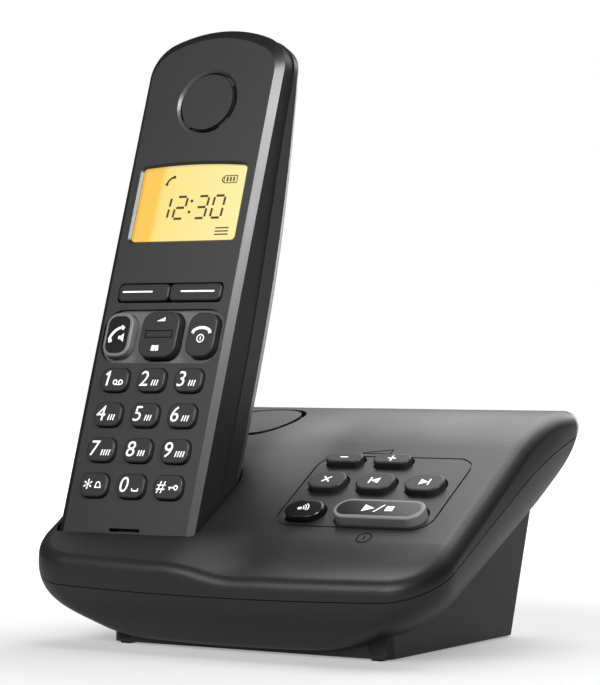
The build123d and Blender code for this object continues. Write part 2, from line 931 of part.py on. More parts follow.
def panel_button(x, s, length, width, proud):
    """Sprung button: a cap through the panel and a wider flange under it."""
    with BuildPart() as button:
        add(panel_slot((x, s), length, width, flange_low, proud))
        fillet(button.faces().sort_by(panel_axis)[-1].edges(), button_edge)
        wide, deep = length + 2 * flange_margin, width + 2 * flange_margin
        add(panel_slot((x, s), wide, deep, flange_low, flange_low + flange_thickness))
    return button.part


play_inlay = (play_length - 2 * play_rim_width, play_width - 2 * play_rim_width)
for name, (x, s, length, width, proud) in panel_buttons.items():
    with BuildPart() as button:
        add(panel_button(x, s, length, width, proud))
        if name == "play_rim":  # holds the play button's dark inlay
            seat = panel_slot((x, s), *play_inlay, proud - play_inlay_depth, proud)
            add(seat, mode=Mode.SUBTRACT)
    button.part.label = name
    export_step(button.part, f"parts/{name}.step")

with BuildPart() as button_play:
    add(panel_slot((play_x, row_bottom), *play_inlay, play_proud - play_inlay_depth, play_proud))
button_play.part.label = "button_play"
export_step(button_play.part, "parts/button_play.step")

post_room = post_inset + post_radius + button_gap
with BuildPart() as base_key_mat:
    sides = (board_left + post_room, board_right - post_room)
    add(panel_plate(*sides, board_bottom + post_room, board_high - post_room, board_top, mat_top))
base_key_mat.part.label = "base_key_mat"
export_step(base_key_mat.part, "parts/base_key_mat.step")

with BuildPart() as base_circuit_board:
    add(panel_plate(board_left, board_right, board_bottom, board_high, board_low, board_top))
base_circuit_board.part.label = "base_circuit_board"
export_step(base_circuit_board.part, "parts/base_circuit_board.step")

# ------------------------------------------------------------ charging contacts
pin_tip_v = handset_bottom - pin_tip_gap
flange_top_v = pin_floor_v - pin_clear
for name, spot in zip(("charge_pin_left", "charge_pin_right"), pin_spots):
    with BuildPart() as pin:
        add(rod(across_plane(pin_tip_v), spot, pin_radius, flange_top_v - pin_tip_v))
        add(rod(across_plane(flange_top_v), spot, pin_flange_radius, -pin_flange))
        add(rod(across_plane(flange_top_v - pin_flange), spot, pin_stem_radius, -pin_stem))
    pin.part.label = name
    export_step(pin.part, f"parts/{name}.step")

with BuildPart() as charge_holder:
    with BuildSketch(across_plane(pin_floor_v - holder_depth)):
        with Locations((0, pad_depth)):
            Rectangle(2 * holder_half, holder_width)
    extrude(amount=holder_depth)
    for spot in pin_spots:
        well = rod(across_plane(pin_floor_v), spot, holder_well_radius, -holder_well_depth)
        add(well, mode=Mode.SUBTRACT)
        bore = rod(across_plane(pin_floor_v), spot, pin_stem_radius + pin_fit, -holder_depth)
        add(bore, mode=Mode.SUBTRACT)
charge_holder.part.label = "charge_holder"
export_step(charge_holder.part, "parts/charge_holder.step")

# ------------------------------------------------------------- handset housing
bevel_lean = (bevel_depth - bevel_foot_depth) / (handset_top - handset_bottom)
bevel_origin = face_plane.origin + inward * (bevel_foot_depth - handset_bottom * bevel_lean)
bevel_plane = Plane(origin=bevel_origin, x_dir=across, z_dir=upward * bevel_lean - inward)
face_axis = Axis((0, 0, 0), -inward)
plate_back = bay_depth + plate_thickness
key_foot = plate_back + flange_play + key_flange_thickness
key_mat_depth = key_foot + key_travel + mat_relief
handset_board_depth = key_mat_depth + mat_thickness
handset_screws_at = [(-handset_screw_u, handset_screw_v), (handset_screw_u, handset_screw_v)]
screw_seat_depth = handset_boss_depth + screw_seat


def face_block(spot, width, height, corner, front, back):
    """Rounded block square to the face, between two depths."""
    with BuildPart() as block:
        with BuildSketch(behind(back)):
            with Locations(spot):
                RectangleRounded(width, height, corner)
        extrude(amount=back - front)
    return block.part


def screen_outline(grow):
    """Outline of the screen, its top edge slightly arched."""
    half, rise = screen_width / 2 + grow, screen_rise
    low, high = screen_v - screen_height / 2 - grow, screen_v + screen_height / 2 - rise + grow
    with BuildSketch() as outline:
        with BuildLine():
            Polyline((-half, high), (-half, low), (half, low), (half, high))
            ThreePointArc((half, high), (0, high + rise), (-half, high))
        make_face()
        fillet(outline.vertices(), screen_corner + grow)
    return outline.sketch


def screen_block(grow, front, back):
    """The screen's outline run between two depths."""
    return prism(behind(back), screen_outline(grow), back - front)


talk_spot, end_spot = (-call_key_pitch, bay_v), (call_key_pitch, bay_v)
call_key = (call_key_width, call_key_height, call_key_corner)
bay = (bay_width, bay_height, bay_corner)
number_keys = {}
for row, names in enumerate(("star 0 hash", "7 8 9", "4 5 6", "1 2 3")):
    for column, name in enumerate(names.split()):
        number_keys[name] = (key_pitch_u * (column - 1), key_bottom_v + key_pitch_v * row)

with BuildPart() as front_form:
    with BuildSketch(face_plane):
        add(handset_outline(bevel_side, bevel_top, 0))
    with BuildSketch(bevel_plane):
        add(handset_outline(side_draft, side_draft, 0))
    with BuildSketch(behind(parting_low + handset_wall)):
        add(handset_outline(0, 0, 0))
    loft(ruled=True)
    add(parting_block(0, 1), mode=Mode.SUBTRACT)
    add(under_foot(0), mode=Mode.SUBTRACT)

with BuildPart() as front_cavity:
    add(outline_prism(side_draft, side_draft, handset_wall, handset_wall, far / 8))
    add(under_foot(-handset_wall), mode=Mode.SUBTRACT)

ear_arc = CenterArc((0, 0), (ear_outer + ear_inner) / 2, -ear_slot_sweep / 2, ear_slot_sweep)

with BuildPart() as handset_front_shell:
    add(front_form.part)
    add(front_cavity.part, mode=Mode.SUBTRACT)
    for spot in handset_screws_at:
        add(rod(behind(handset_boss_depth), spot, boss_radius, handset_boss_depth - handset_wall / 2))
        bore = rod(behind(handset_boss_depth), spot, screw_radius + screw_fit, screw_length - screw_seat)
        add(bore, mode=Mode.SUBTRACT)
    # screen opening with a chamfered mouth
    add(screen_block(lens_gap, -handset_wall, 2 * handset_wall), mode=Mode.SUBTRACT)
    with BuildSketch(behind(screen_chamfer)):
        add(screen_outline(lens_gap))
    extrude(amount=2 * screen_chamfer, taper=-45, mode=Mode.SUBTRACT)
    # ear ring: a round groove with arc-shaped slots through its floor
    with BuildSketch(behind(ear_groove)):
        with Locations((0, ear_v)):
            Circle(ear_outer)
            Circle(ear_inner, mode=Mode.SUBTRACT)
    extrude(amount=2 * ear_groove, mode=Mode.SUBTRACT)
    with BuildSketch(face_plane):
        with Locations((0, ear_v)):
            with PolarLocations(0, ear_slot_count):
                SlotArc(ear_arc, ear_outer - ear_inner - 2 * tongue_gap)
    extrude(amount=-2 * handset_wall, mode=Mode.SUBTRACT)
    # openings for the keys, the microphone and the charging pads
    through = (-handset_wall, 2 * handset_wall)
    soft_slot = face_block((0, soft_v), soft_slot_length, soft_slot_height, soft_corner, *through)
    add(soft_slot, mode=Mode.SUBTRACT)
    add(face_block((0, bay_v), *bay, *through), mode=Mode.SUBTRACT)
    for spot in number_keys.values():
        width, height = key_width + 2 * key_gap, key_height + 2 * key_gap
        hole = face_block(spot, width, height, key_corner + key_gap, *through)
        add(hole, mode=Mode.SUBTRACT)
    with BuildSketch(face_plane):
        with Locations((0, mic_v)):
            SlotOverall(mic_width, mic_height)
    extrude(amount=-2 * handset_wall, mode=Mode.SUBTRACT)
    with BuildSketch(across_plane(handset_bottom)):
        with Locations((-contact_pitch, pad_depth), (contact_pitch, pad_depth)):
            Rectangle(pad_width + 2 * lens_gap, pad_length + 2 * lens_gap)
    extrude(amount=2 * handset_wall, mode=Mode.SUBTRACT)
handset_front_shell.part.label = "handset_front_shell"
export_step(handset_front_shell.part, "parts/handset_front_shell.step")

cover_mid_v = (cover_top_v + cover_bottom_v) / 2
cover_length = cover_top_v - cover_bottom_v
cells_half = (cell_pitch + 2 * cell_radius + cell_gap) / 2
cells_v = cell_bottom_v + cell_length / 2
cells_length = cell_length + 2 * contact_thickness
cell_depth = tray_floor_depth + tray_wall + cell_radius
cover_seat = cover_wall + cover_gap


def cover_block(grow):
    """The battery cover's outline, grown, run through the back of the handset."""
    size = (2 * (cover_half + grow), cover_length + 2 * grow, cover_corner + grow)
    return face_block((0, cover_mid_v), *size, handset_boss_depth, far / 4)


def tray_block(grow, front):
    """The battery compartment, grown, from a depth backwards."""
    size = (2 * (cells_half + grow), cells_length + 2 * grow, tray_wall / 2)
    return face_block((0, cells_v), *size, front, far / 4)


with BuildPart() as rear_form:
    add(back_form(0))
    add(outline_prism(0, 0, 0, 0, far / 4), mode=Mode.INTERSECT)
    add(parting_block(parting_gap, -1), mode=Mode.SUBTRACT)
    add(under_foot(0), mode=Mode.SUBTRACT)

with BuildPart() as rear_cavity:
    add(back_form(handset_wall))
    add(outline_prism(0, 0, handset_wall, 0, far / 4), mode=Mode.INTERSECT)
    add(under_foot(-handset_wall), mode=Mode.SUBTRACT)

with BuildPart() as rear_inside:  # ledge, battery tray and screw tubes
    add(cover_block(ledge_margin))
    add(back_form(cover_seat + cover_ledge), mode=Mode.SUBTRACT)
    tray = tray_block(tray_wall, tray_floor_depth)
    add(tray)
    for spot in handset_screws_at:
        add(rod(behind(handset_boss_depth), spot, head_bore + boss_wall, -far / 8))
    add(back_form(handset_wall / 2), mode=Mode.INTERSECT)
    add(outline_prism(0, 0, handset_wall / 2, 0, far / 4), mode=Mode.INTERSECT)
    add(under_foot(-handset_wall / 2), mode=Mode.SUBTRACT)

with BuildPart() as cover_recess:
    add(cover_block(cover_gap))
    add(back_form(cover_seat), mode=Mode.SUBTRACT)

with BuildPart() as handset_rear_shell:
    add(rear_form.part)
    add(rear_cavity.part, mode=Mode.SUBTRACT)
    add(rear_inside.part)
    add(cover_recess.part, mode=Mode.SUBTRACT)
    add(tray_block(0, tray_floor_depth + tray_wall), mode=Mode.SUBTRACT)
    for spot in handset_screws_at:
        add(rod(behind(screw_seat_depth), spot, head_bore, -far / 8), mode=Mode.SUBTRACT)
        shank = rod(behind(handset_boss_depth), spot, screw_radius + head_clearance, -far / 8)
        add(shank, mode=Mode.SUBTRACT)
handset_rear_shell.part.label = "handset_rear_shell"
export_step(handset_rear_shell.part, "parts/handset_rear_shell.step")

with BuildPart() as battery_cover:
    add(back_form(0))
    add(cover_block(0), mode=Mode.INTERSECT)
    add(back_form(cover_wall), mode=Mode.SUBTRACT)
battery_cover.part.label = "battery_cover"
export_step(battery_cover.part, "parts/battery_cover.step")

with BuildPart() as battery_cells:
    for u in (-cell_pitch / 2, cell_pitch / 2):
        add(rod(across_plane(cell_bottom_v), (u, cell_depth), cell_radius, cell_length))
battery_cells.part.label = "battery_cells"
export_step(battery_cells.part, "parts/battery_cells.step")

with BuildPart() as battery_contacts:
    for v in (cell_bottom_v - contact_thickness, cell_bottom_v + cell_length):
        with BuildSketch(across_plane(v)):
            with Locations((-cell_pitch / 2, cell_depth), (cell_pitch / 2, cell_depth)):
                Rectangle(contact_size, contact_size)
        extrude(amount=contact_thickness)
battery_contacts.part.label = "battery_contacts"
export_step(battery_contacts.part, "parts/battery_contacts.step")

with BuildPart() as handset_screws:
    for spot in handset_screws_at:
        add(rod(behind(screw_seat_depth), spot, screw_radius, screw_length))
        add(rod(behind(screw_seat_depth), spot, screw_head_radius, -screw_head_height))
handset_screws.part.label = "handset_screws"
export_step(handset_screws.part, "parts/handset_screws.step")

# ------------------------------------------------------------- handset insides
with BuildPart() as display_window:
    add(screen_block(0, lens_recess, handset_wall))
    add(screen_block(lens_margin, handset_wall, handset_wall + lens_flange))
display_window.part.label = "display_window"
export_step(display_window.part, "parts/display_window.step")

with BuildPart() as display_module:
    width, height = screen_width + 2 * lcd_margin, screen_height + 2 * lcd_margin
    front = handset_wall + lens_flange
    add(face_block((0, screen_v), width, height, screen_corner, front, handset_board_depth))
display_module.part.label = "display_module"
export_step(display_module.part, "parts/display_module.step")

with BuildPart() as earpiece:
    add(rod(behind(handset_wall), (0, ear_v), earpiece_radius, -earpiece_height))
earpiece.part.label = "earpiece"
export_step(earpiece.part, "parts/earpiece.step")

with BuildPart() as microphone:
    add(rod(behind(handset_wall), (0, mic_v), microphone_radius, -microphone_height))
microphone.part.label = "microphone"
export_step(microphone.part, "parts/microphone.step")


def inside_plate(half, bottom, top, front, thickness):
    """Plate across the inside of the handset."""
    spot = (0, (bottom + top) / 2)
    return face_block(spot, 2 * half, top - bottom, screen_corner, front, front + thickness)


with BuildPart() as handset_key_mat:
    reach = (handset_mat_half, handset_mat_bottom, handset_mat_top)
    add(inside_plate(*reach, key_mat_depth, mat_thickness))
handset_key_mat.part.label = "handset_key_mat"
export_step(handset_key_mat.part, "parts/handset_key_mat.step")

with BuildPart() as handset_circuit_board:
    reach = (handset_board_half, handset_board_bottom, handset_board_top)
    add(inside_plate(*reach, handset_board_depth, board_thickness))
handset_circuit_board.part.label = "handset_circuit_board"
export_step(handset_circuit_board.part, "parts/handset_circuit_board.step")

with BuildPart() as charge_pads:
    with BuildSketch(across_plane(handset_bottom + pad_recess)):
        with Locations((-contact_pitch, pad_depth), (contact_pitch, pad_depth)):
            Rectangle(pad_width, pad_length)
    extrude(amount=pad_thickness)
charge_pads.part.label = "charge_pads"
export_step(charge_pads.part, "parts/charge_pads.step")

# ----------------------------------------------------------------- handset keys
with BuildPart() as nav_plate:
    width, height = bay_width - 2 * bay_gap, bay_height - 2 * bay_gap
    add(face_block((0, bay_v), width, height, bay_corner - bay_gap, bay_depth, plate_back))
    width, height = bay_width + 2 * bay_flange, bay_height + 2 * bay_flange
    add(face_block((0, bay_v), width, height, bay_corner + bay_flange, handset_wall, plate_back))
    for spot in (talk_spot, end_spot):
        grown = [size + 2 * key_gap for size in call_key[:2]] + [call_key_corner + key_gap]
        add(face_block(spot, *grown, 0, 2 * plate_back), mode=Mode.SUBTRACT)
    width, height = nav_width + 2 * nav_gap, nav_height + 2 * nav_gap
    nav_hole = face_block((0, bay_v), width, height, nav_corner + nav_gap, 0, 2 * plate_back)
    add(nav_hole, mode=Mode.SUBTRACT)
nav_plate.part.label = "nav_plate"
export_step(nav_plate.part, "parts/nav_plate.step")


def face_key(spot, width, height, corner, proud, ceiling):
    """Sprung key: a cap through the face, a stem and a flange under the ceiling."""
    with BuildPart() as key:
        add(face_block(spot, width, height, corner, -proud, key_foot))
        fillet(key.faces().sort_by(face_axis)[-1].edges(), key_edge)
        low = ceiling + flange_play
        size = (width + 2 * key_flange, height + 2 * key_flange, corner + key_flange)
        add(face_block(spot, *size, low, low + key_flange_thickness))
    return key.part


for name, spot in number_keys.items():
    with BuildPart() as key:
        add(face_key(spot, key_width, key_height, key_corner, key_proud, handset_wall))
    key.part.label = f"key_{name}"
    export_step(key.part, f"parts/key_{name}.step")

for name, side in (("key_left_soft", -1), ("key_right_soft", 1)):
    with BuildPart() as key:
        spot = (side * soft_pitch, soft_v)
        add(face_block(spot, soft_length, soft_height, soft_corner, -soft_proud, key_foot))
        fillet(key.faces().sort_by(face_axis)[-1].edges(), key_edge)
        low = handset_wall + flange_play
        wide, high = soft_length + key_flange, soft_slot_height + 2 * key_flange
        spot = (side * (soft_pitch + key_flange / 2), soft_v)
        add(face_block(spot, wide, high, soft_corner, low, low + key_flange_thickness))
    key.part.label = name
    export_step(key.part, f"parts/{name}.step")

call_inlay = [size - 2 * call_rim for size in call_key[:2]] + [call_key_corner - call_rim]
inlay_back = call_inlay_depth - call_proud
with BuildPart() as talk_rim:
    add(face_key(talk_spot, *call_key, call_proud, plate_back))
    add(face_block(talk_spot, *call_inlay, -2 * call_proud, inlay_back), mode=Mode.SUBTRACT)
talk_rim.part.label = "talk_rim"
export_step(talk_rim.part, "parts/talk_rim.step")

with BuildPart() as key_talk:
    add(face_block(talk_spot, *call_inlay, -call_proud, inlay_back))
key_talk.part.label = "key_talk"
export_step(key_talk.part, "parts/key_talk.step")

with BuildPart() as key_end:
    add(face_key(end_spot, *call_key, call_proud, plate_back))
key_end.part.label = "key_end"
export_step(key_end.part, "parts/key_end.step")

nav_flange_front = plate_back + nav_tilt_room
with BuildPart() as key_nav:
    nav = (nav_width, nav_height, nav_corner)
    add(face_block((0, bay_v), *nav, -nav_proud, nav_flange_front + nav_flange_thickness))
    fillet(key_nav.faces().sort_by(face_axis)[-1].edges(), key_edge)
    grown = [size + 2 * key_flange for size in nav[:2]] + [nav_corner + key_flange]
    end = nav_flange_front + nav_flange_thickness
    add(face_block((0, bay_v), *grown, nav_flange_front, end))
    bar = (nav_bar_width, nav_bar_height)
    with BuildSketch(behind(nav_bar_groove - nav_proud)):
        with Locations((0, bay_v)):
            Rectangle(*bar)
            Rectangle(*[size - 2 * nav_bar_groove for size in bar], mode=Mode.SUBTRACT)
    extrude(amount=nav_bar_groove, mode=Mode.SUBTRACT)
key_nav.part.label = "key_nav"
export_step(key_nav.part, "parts/key_nav.step")
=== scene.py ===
"""Looks of a cordless telephone base with a built-in answering machine, and its handset.

Metres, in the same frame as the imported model.  The sections follow the object as it
is put together: studio, base housing, base buttons, cradle, handset, display, keys.
"""

from math import atan2, cos, pi, radians, sin

import bmesh
import bpy
from mathutils import Matrix, Vector


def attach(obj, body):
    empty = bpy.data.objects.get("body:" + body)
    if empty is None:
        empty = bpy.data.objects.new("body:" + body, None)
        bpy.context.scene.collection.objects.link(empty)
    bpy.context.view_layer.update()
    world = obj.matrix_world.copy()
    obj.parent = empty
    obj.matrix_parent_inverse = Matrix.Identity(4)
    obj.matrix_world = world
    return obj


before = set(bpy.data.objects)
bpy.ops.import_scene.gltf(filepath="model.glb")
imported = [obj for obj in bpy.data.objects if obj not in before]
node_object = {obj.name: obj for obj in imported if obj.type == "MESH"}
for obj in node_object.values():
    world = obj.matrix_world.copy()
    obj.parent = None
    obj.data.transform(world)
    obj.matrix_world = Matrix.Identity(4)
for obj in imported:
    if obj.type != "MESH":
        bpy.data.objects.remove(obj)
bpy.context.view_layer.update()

# ------------------------------------------------------------------------- camera
# A long portrait lens low over the table, to the right of the object's front.
camera = bpy.data.objects.new("camera", bpy.data.cameras.new("camera"))
bpy.context.scene.collection.objects.link(camera)
camera.location = (0.3769, -0.62355, 0.0817)
camera.rotation_euler = (radians(90.13), 0, radians(31.28))
focal_pixels, picture_height = 2578, 685  # the sensor's width lies along the height
camera.data.lens = focal_pixels * camera.data.sensor_width / picture_height
camera.data.clip_start = 0.01
bpy.context.scene.camera = camera
bpy.context.scene.view_settings.view_transform = "Standard"


# ---------------------------------------------------------------- table and backdrop
# White laminate table top: matte, so the object leaves a soft grey contact shadow and
# the rest fades into the white room. The camera sees less glow within 0.45 m of the
# middle: painted grey shade round the object.
def linear(colour):
    """sRGB hex to linear red, green, blue and alpha."""
    parts = [int(colour[i : i + 2], 16) / 255 for i in (1, 3, 5)]
    return [c / 12.92 if c <= 0.04045 else ((c + 0.055) / 1.055) ** 2.4 for c in parts] + [1]


def add_node(tree, kind, settings, **links):
    """Adds a node, sets its inputs and options, and links other nodes' outputs to it."""
    node = tree.nodes.new("ShaderNode" + kind)
    for name, value in settings.items():
        if isinstance(name, int) or name in node.inputs:
            node.inputs[name].default_value = value
        else:
            setattr(node, name, value)
    for name, output in links.items():
        slot = name.replace("_", " ")
        tree.links.new(output, node.inputs[int(slot[1:]) if slot[0] == "i" else slot])
    return node


def new_material(name):
    """An empty material and its node tree."""
    material = bpy.data.materials.new(name)
    material.use_nodes = True
    material.node_tree.nodes.clear()
    return material, material.node_tree


table_top, tree = new_material("laminate_matte_white")
rays = add_node(tree, "LightPath", {})
place = add_node(tree, "TexCoord", {})
away = add_node(tree, "VectorMath", {"operation": "LENGTH"}, Vector=place.outputs["Object"])
# glow weaker near the object: painted shade round it
shade_near_object = add_node(
    tree,
    "MapRange",
    {"From Min": 0.1, "From Max": 0.45, "To Min": 0.34, "To Max": 1.0},
    Value=away.outputs["Value"],
)
board = add_node(tree, "BsdfDiffuse", {"Color": linear("#c9c9c9")})
grey = add_node(tree, "BsdfDiffuse", {"Color": linear("#949494")})
haze = add_node(tree, "Emission", {"Color": linear("#ffffff"), "Strength": 0.2})
bounce = add_node(tree, "AddShader", {}, i0=grey.outputs[0], i1=haze.outputs[0])
glow = add_node(tree, "Emission", {"Color": linear("#ffffff")}, Strength=shade_near_object.outputs[0])
lit = add_node(tree, "AddShader", {}, i0=board.outputs[0], i1=glow.outputs[0])
seen = add_node(
    tree,
    "MixShader",
    {},
    Fac=rays.outputs["Is Camera Ray"],
    i1=bounce.outputs[0],
    i2=lit.outputs[0],
)
add_node(tree, "OutputMaterial", {}, Surface=seen.outputs[0])

bm = bmesh.new()
bmesh.ops.create_grid(bm, x_segments=1, y_segments=1, size=4.0)
mesh = bpy.data.meshes.new("table")
bm.to_mesh(mesh)
bm.free()
table = bpy.data.objects.new("table", mesh)
bpy.context.scene.collection.objects.link(table)
mesh.materials.append(table_top)

# White room: plain white where it is seen directly or through glass, and only a faint
# fill everywhere else, so the dark plastic keeps its contrast.
world = bpy.data.worlds.new("white_room")
bpy.context.scene.world = world
world.use_nodes = True
tree = world.node_tree
tree.nodes.clear()
rays = add_node(tree, "LightPath", {})
direct = add_node(
    tree,
    "Math",
    {"operation": "MAXIMUM"},
    i0=rays.outputs["Is Camera Ray"],
    i1=rays.outputs["Is Transmission Ray"],
)
room_fill = 0.05
strength = add_node(
    tree, "Math", {"operation": "MAXIMUM", 1: room_fill}, i0=direct.outputs[0]
)
air = add_node(tree, "Background", {"Color": linear("#ffffff")}, Strength=strength.outputs[0])
add_node(tree, "OutputWorld", {}, Surface=air.outputs[0])


# -------------------------------------------------------------------------- lamps
# Two softboxes behind the base, high and low, grade its top from the crown to the front;
# flags keep them off the handset, whose bevels stay dark.  A strip to the right edges
# the handset and a low lamp behind edges the rims.  A small softbox to the left lies in
# the sheen of the handset's face, and one in front fills the shadows.
def softbox(name, place, aim, size, power):
    """A rectangular lamp in metres and watts, turned towards the aim."""
    lamp = bpy.data.lights.new(name, "AREA")
    lamp.shape = "RECTANGLE"
    lamp.size, lamp.size_y = size
    lamp.energy = power
    box = bpy.data.objects.new(name, lamp)
    bpy.context.scene.collection.objects.link(box)
    box.location = place
    box.rotation_euler = (Vector(place) - Vector(aim)).to_track_quat("Z", "Y").to_euler()
    return box


def flag_off(lamp, *things):
    """Keeps one lamp off some objects, as a black card beside it would."""
    shaded = bpy.data.collections.new(lamp.name + "_flag")
    for thing in things:
        shaded.objects.link(thing)
    lamp.light_linking.receiver_collection = shaded
    for item in shaded.collection_objects:
        item.light_linking.link_state = "EXCLUDE"


handset_shells = [
    node_object[name] for name in ("handset_front_shell", "handset_rear_shell", "battery_cover")
]
base_shells = [node_object[name] for name in ("base_upper_shell", "base_lower_shell")]
high = softbox("high_softbox", (-0.1, 0.75, 1.3), (0, 0, 0.05), (1.4, 0.9), 18)
flag_off(high, *handset_shells)
low = softbox("low_softbox", (0.0, 1.12, 0.78), (0, 0, 0.05), (1.5, 0.5), 5.5)
flag_off(low, *handset_shells)
strip = softbox("right_strip", (0.93, -0.58, 0.84), (0, 0, 0.1), (0.35, 0.5), 28)
flag_off(strip, table, *base_shells)
softbox("rear_rim", (0.05, 1.5, 0.3), (0, 0, 0.1), (0.4, 0.8), 7)
softbox("face_softbox", (-0.26, -0.6, 0.5), (-0.037, -0.02, 0.1), (0.3, 0.3), 1.2)
softbox("front_fill", (-0.1, -1.5, 0.9), (0, 0, 0.08), (0.8, 0.8), 12)


# ------------------------------------------------------------------- base housing
# Two injection-moulded ABS shells with a fine spark-eroded texture, screwed together
# from below; the parting line runs right round between them.
def moulded_plastic(name, colour, roughness, grain, depth, ior=1.53):
    """Moulded polymer: grain in mm across, depth in mm, both drawn a little coarse."""
    material, tree = new_material(name)
    place = add_node(tree, "TexCoord", {})
    spark = add_node(
        tree,
        "TexNoise",
        {"Scale": 1000 / grain, "Detail": 2.0, "Roughness": 0.6},
        Vector=place.outputs["Object"],
    )
    flow_width = 28  # mm between slightly duller and shinier patches
    flow = add_node(
        tree,
        "TexNoise",
        {"Scale": 1000 / flow_width, "Detail": 1.0},
        Vector=place.outputs["Object"],
    )
    tint = add_node(
        tree,
        "Mix",
        {
            "data_type": "RGBA",
            6: [c * 0.9 for c in linear(colour)[:3]] + [1],  # socket 6 is colour A
            7: [c * 1.1 for c in linear(colour)[:3]] + [1],  # and socket 7 colour B
        },
        Factor=spark.outputs["Fac"],
    )
    sheen = add_node(
        tree,
        "MapRange",
        {"To Min": roughness - 0.05, "To Max": roughness + 0.05},
        Value=flow.outputs["Fac"],
    )
    relief = add_node(
        tree, "Bump", {"Strength": 0.5, "Distance": depth / 1000}, Height=spark.outputs["Fac"]
    )
    skin = add_node(
        tree,
        "BsdfPrincipled",
        {"IOR": ior},
        Base_Color=tint.outputs[2],
        Roughness=sheen.outputs[0],
        Normal=relief.outputs[0],
    )
    add_node(tree, "OutputMaterial", {}, Surface=skin.outputs[0])
    return material


def finish_nodes(material, *names):
    """Gives CAD nodes their material."""
    for name in names:
        slots = node_object[name].data.materials
        slots.clear()
        slots.append(material)


# the charcoal texture breaks the light into a soft satin sheen
housing_abs = moulded_plastic("abs_charcoal_spark_texture", "#252526", 0.42, 0.55, 0.03)
finish_nodes(housing_abs, "base_upper_shell", "base_lower_shell")

# Four rubber feet: the front two are let into the corners of the stand, the rear two
# are round pads in shallow seats.
foot_rubber = moulded_plastic("rubber_black_matte", "#0d0d0d", 0.75, 0.7, 0.04)
finish_nodes(foot_rubber, "front_feet", "rear_pads")


# Pan-head thread-forming screws, zinc plated, deep in their bores under the base and
# in the back of the handset.
def plated_metal(name, colour, roughness, streak):
    """Plated or drawn metal with fine streaks of the given spacing in mm."""
    material, tree = new_material(name)
    place = add_node(tree, "TexCoord", {})
    drawn = add_node(
        tree,
        "Mapping",
        {"Scale": (1000 / streak, 1000 / streak, 60)},
        Vector=place.outputs["Object"],
    )
    lines = add_node(tree, "TexNoise", {"Scale": 1.0, "Detail": 2.0}, Vector=drawn.outputs[0])
    rub = add_node(
        tree,
        "MapRange",
        {"To Min": roughness - 0.06, "To Max": roughness + 0.1},
        Value=lines.outputs["Fac"],
    )
    relief = add_node(
        tree, "Bump", {"Strength": 0.2, "Distance": 0.00001}, Height=lines.outputs["Fac"]
    )
    skin = add_node(
        tree,
        "BsdfPrincipled",
        {"Base Color": linear(colour), "Metallic": 1.0},
        Roughness=rub.outputs[0],
        Normal=relief.outputs[0],
    )
    add_node(tree, "OutputMaterial", {}, Surface=skin.outputs[0])
    return material


# plating over turned steel: bright with faint lines
screw_steel = plated_metal("steel_zinc_plated", "#b9bcc0", 0.3, 0.3)
finish_nodes(screw_steel, "base_screws", "handset_screws")


# ----------------------------------------------------------- sockets in the stand
# Black moulded jacks for the line and the power lead, with sprung gold-plated wires in
# the line jack and a centre pin in the power jack.
socket_nylon = moulded_plastic("nylon_black_moulded", "#1b1b1c", 0.5, 0.6, 0.02)
finish_nodes(socket_nylon, "line_socket", "power_socket")

# hard gold over nickel: warm and polished
contact_gold = plated_metal("gold_flash_on_nickel", "#d9bd7c", 0.18, 0.4)

stand_foot, stand_lean = (0, 33.9, 0.5), 19.8
stand_rear = Matrix.Translation(stand_foot) @ Matrix.Rotation(radians(180), 4, "Z")
stand_rear = stand_rear @ Matrix.Rotation(radians(90 + stand_lean), 4, "X")
socket_height, line_x, power_x = 16, -8, 14


def place_piece(name, bm, frame_matrix, body, material):
    """Moves a mesh made in mm in a local frame to its place, and hangs it on its body."""
    bmesh.ops.transform(bm, matrix=Matrix.Scale(0.001, 4) @ frame_matrix, verts=bm.verts)
    bmesh.ops.recalc_face_normals(bm, faces=bm.faces)
    mesh = bpy.data.meshes.new(name)
    bm.to_mesh(mesh)
    bm.free()
    mesh.materials.append(material)
    piece = bpy.data.objects.new(name, mesh)
    bpy.context.scene.collection.objects.link(piece)
    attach(piece, body)
    return piece


bm = bmesh.new()
wire_count, wire_pitch = 4, 1.3
for k in range(wire_count):
    x = line_x + (k - (wire_count - 1) / 2) * wire_pitch
    turn = Matrix.Translation((x, socket_height + 1.2, -4.0))
    turn = turn @ Matrix.Rotation(radians(28), 4, "X")
    wire = bmesh.ops.create_cube(bm, size=1, matrix=turn @ Matrix.Diagonal((0.5, 0.4, 6.4, 1)))
    edges = list({e for v in wire["verts"] for e in v.link_edges})
    bmesh.ops.bevel(
        bm, geom=edges, offset=0.1, segments=2, profile=0.5, affect="EDGES", material=-1
    )
place_piece("line_socket_wires", bm, stand_rear, "base", contact_gold)

bm = bmesh.new()
bmesh.ops.create_cone(
    bm,
    cap_ends=True,
    segments=24,
    radius1=1.0,
    radius2=1.0,
    depth=5.6,
    matrix=Matrix.Translation((power_x, socket_height, -4.6)),
)
tip = [e for e in bm.edges if all(v.co.z > -2 for v in e.verts)]
bmesh.ops.bevel(bm, geom=tip, offset=0.5, segments=3, profile=0.5, affect="EDGES", material=-1)
place_piece("power_socket_pin", bm, stand_rear, "base", contact_gold)


